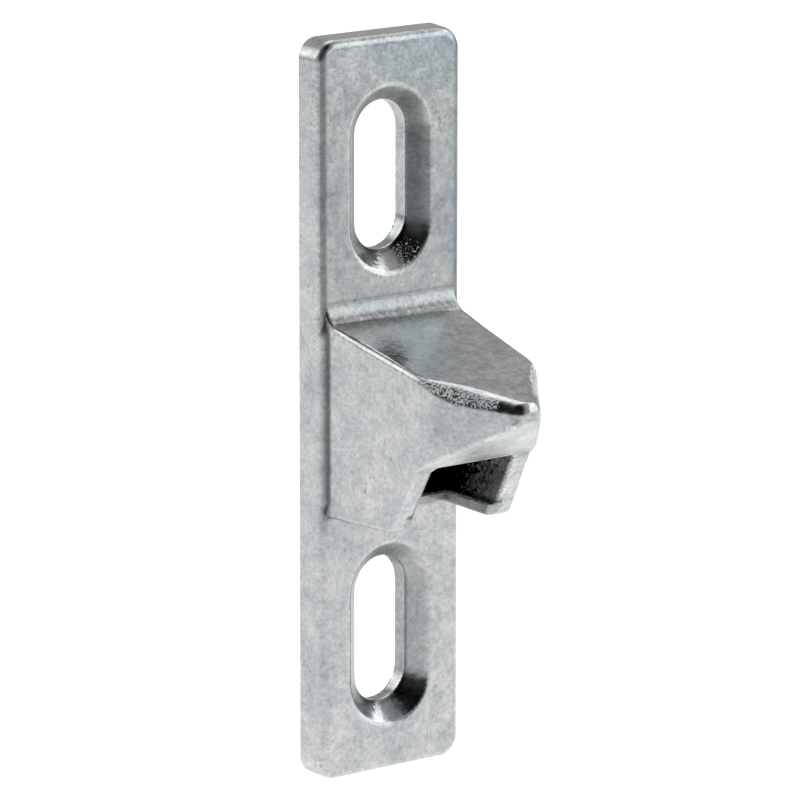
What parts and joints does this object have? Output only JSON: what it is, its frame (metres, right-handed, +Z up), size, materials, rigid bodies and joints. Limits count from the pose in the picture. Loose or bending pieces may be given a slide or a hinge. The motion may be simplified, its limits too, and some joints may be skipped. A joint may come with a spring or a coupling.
{
  "type": "sliding door keeper",
  "caption": "Cast keeper for a sliding door's hook lock: a flat plate with two long countersunk slots and a tapered hood whose mouth opens downwards under a blunt nose.",
  "frame": {"origin": "on the back (mounting) face, on the centre line, in the middle of the solid land between the window of the hook pocket and the lower screw slot; the plate's own centre is 11 mm above it", "axes": "+X to the right seen from the front, +Y out of the back face towards the door frame, so that the front faces -Y, +Z up"},
  "size_m": [0.016, 0.0233, 0.0679],
  "materials": {
    "cast_zinc": "bare die-cast zinc, satin and finely mottled, with burnished edges"
  },
  "bodies": {
    "root": {"keeper": "cast_zinc"}
  },
  "joints": []
}
